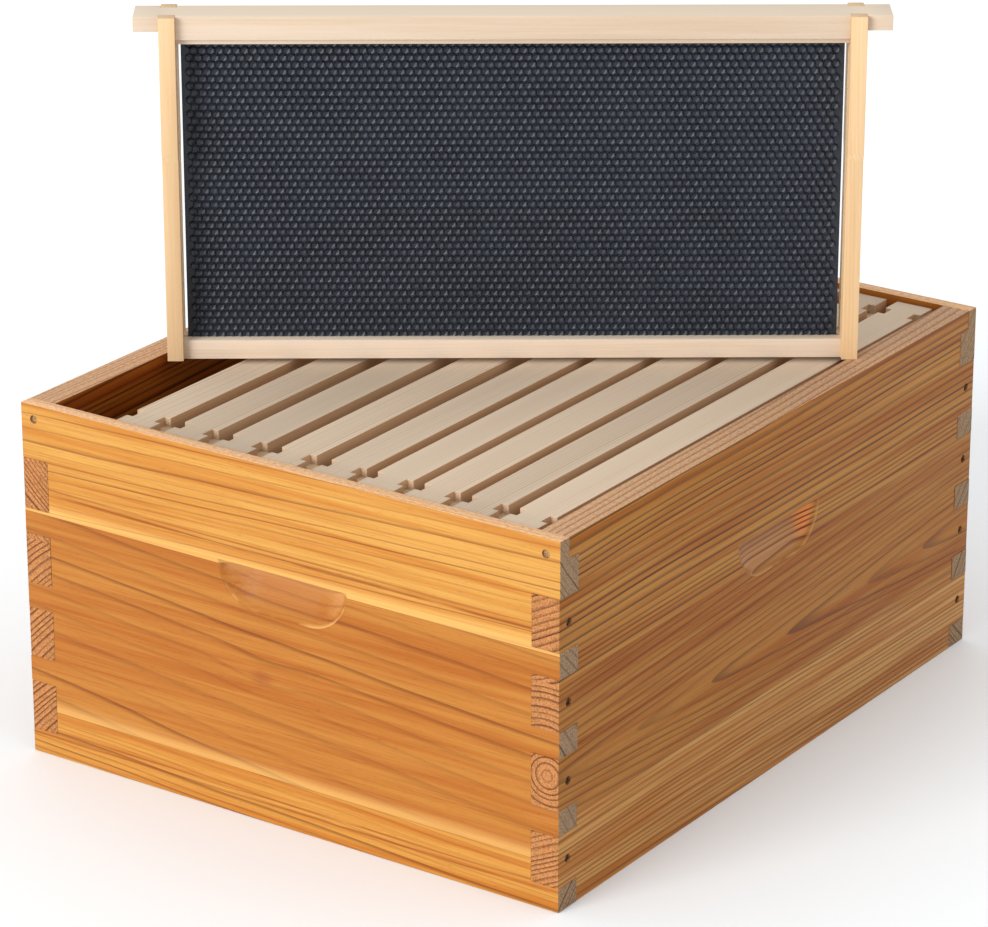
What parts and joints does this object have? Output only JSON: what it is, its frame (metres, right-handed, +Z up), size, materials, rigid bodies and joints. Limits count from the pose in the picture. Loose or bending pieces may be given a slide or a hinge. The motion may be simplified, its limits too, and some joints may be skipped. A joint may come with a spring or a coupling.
{
  "type": "langstroth hive box",
  "caption": "Deep wooden beehive box with finger-jointed corners, hand-holds and frames of black foundation hanging on ledges, one more frame standing across its rims.",
  "frame": {"origin": "on the ground, in the middle of the box", "axes": "+X across the frames, away from the empty slot; +Y along the frames, away from the front board; +Z up"},
  "size_m": [0.413, 0.505, 0.476],
  "materials": {
    "waxed_pine": "hot-wax dipped pine, satin",
    "frame_wood": "bare planed pine",
    "foundation_plastic": "black moulded plastic with a thin coat of wax",
    "nail_steel": "dull steel"
  },
  "bodies": {
    "box": {"front_board": "waxed_pine", "back_board": "waxed_pine", "left_board": "waxed_pine", "right_board": "waxed_pine", "corner_nails": "nail_steel"},
    "frame_1": {"frame_1_top_bar": "frame_wood", "frame_1_front_end_bar": "frame_wood", "frame_1_back_end_bar": "frame_wood", "frame_1_bottom_bar": "frame_wood", "frame_1_foundation": "foundation_plastic"},
    "frame_2": {"frame_2_top_bar": "frame_wood", "frame_2_front_end_bar": "frame_wood", "frame_2_back_end_bar": "frame_wood", "frame_2_bottom_bar": "frame_wood", "frame_2_foundation": "foundation_plastic"},
    "frame_3": {"frame_3_top_bar": "frame_wood", "frame_3_front_end_bar": "frame_wood", "frame_3_back_end_bar": "frame_wood", "frame_3_bottom_bar": "frame_wood", "frame_3_foundation": "foundation_plastic"},
    "frame_4": {"frame_4_top_bar": "frame_wood", "frame_4_front_end_bar": "frame_wood", "frame_4_back_end_bar": "frame_wood", "frame_4_bottom_bar": "frame_wood", "frame_4_foundation": "foundation_plastic"},
    "frame_5": {"frame_5_top_bar": "frame_wood", "frame_5_front_end_bar": "frame_wood", "frame_5_back_end_bar": "frame_wood", "frame_5_bottom_bar": "frame_wood", "frame_5_foundation": "foundation_plastic"},
    "frame_6": {"frame_6_top_bar": "frame_wood", "frame_6_front_end_bar": "frame_wood", "frame_6_back_end_bar": "frame_wood", "frame_6_bottom_bar": "frame_wood", "frame_6_foundation": "foundation_plastic"},
    "frame_7": {"frame_7_top_bar": "frame_wood", "frame_7_front_end_bar": "frame_wood", "frame_7_back_end_bar": "frame_wood", "frame_7_bottom_bar": "frame_wood", "frame_7_foundation": "foundation_plastic"},
    "frame_8": {"frame_8_top_bar": "frame_wood", "frame_8_front_end_bar": "frame_wood", "frame_8_back_end_bar": "frame_wood", "frame_8_bottom_bar": "frame_wood", "frame_8_foundation": "foundation_plastic"},
    "frame_9": {"frame_9_top_bar": "frame_wood", "frame_9_front_end_bar": "frame_wood", "frame_9_back_end_bar": "frame_wood", "frame_9_bottom_bar": "frame_wood", "frame_9_foundation": "foundation_plastic"},
    "standing_frame": {"standing_frame_top_bar": "frame_wood", "standing_frame_front_end_bar": "frame_wood", "standing_frame_back_end_bar": "frame_wood", "standing_frame_bottom_bar": "frame_wood", "standing_frame_foundation": "foundation_plastic"}
  },
  "joints": [
    {"name": "standing_frame_lift", "type": "slide", "parent": "box", "child": "standing_frame", "axis": [0, 0, 1], "range_m": [0, 0.5]},
    {"name": "frame_1_lift", "type": "slide", "parent": "box", "child": "frame_1", "axis": [0, 0, 1], "range_m": [0, 0.25]},
    {"name": "frame_2_lift", "type": "slide", "parent": "box", "child": "frame_2", "axis": [0, 0, 1], "range_m": [0, 0.25]},
    {"name": "frame_3_lift", "type": "slide", "parent": "box", "child": "frame_3", "axis": [0, 0, 1], "range_m": [0, 0.25]},
    {"name": "frame_4_lift", "type": "slide", "parent": "box", "child": "frame_4", "axis": [0, 0, 1], "range_m": [0, 0.25]},
    {"name": "frame_5_lift", "type": "slide", "parent": "box", "child": "frame_5", "axis": [0, 0, 1], "range_m": [0, 0.25]},
    {"name": "frame_6_lift", "type": "slide", "parent": "box", "child": "frame_6", "axis": [0, 0, 1], "range_m": [0, 0.25]},
    {"name": "frame_7_lift", "type": "slide", "parent": "box", "child": "frame_7", "axis": [0, 0, 1], "range_m": [0, 0.25]},
    {"name": "frame_8_lift", "type": "slide", "parent": "box", "child": "frame_8", "axis": [0, 0, 1], "range_m": [0, 0.25]},
    {"name": "frame_9_lift", "type": "slide", "parent": "box", "child": "frame_9", "axis": [0, 0, 1], "range_m": [0, 0.25]}
  ],
  "couplings": [
    {"joint": "frame_1_lift", "follows": "standing_frame_lift", "ratio": 0.5},
    {"joint": "frame_2_lift", "follows": "standing_frame_lift", "ratio": 0.5},
    {"joint": "frame_3_lift", "follows": "standing_frame_lift", "ratio": 0.5},
    {"joint": "frame_4_lift", "follows": "standing_frame_lift", "ratio": 0.5},
    {"joint": "frame_5_lift", "follows": "standing_frame_lift", "ratio": 0.5},
    {"joint": "frame_6_lift", "follows": "standing_frame_lift", "ratio": 0.5},
    {"joint": "frame_7_lift", "follows": "standing_frame_lift", "ratio": 0.5},
    {"joint": "frame_8_lift", "follows": "standing_frame_lift", "ratio": 0.5},
    {"joint": "frame_9_lift", "follows": "standing_frame_lift", "ratio": 0.5}
  ]
}
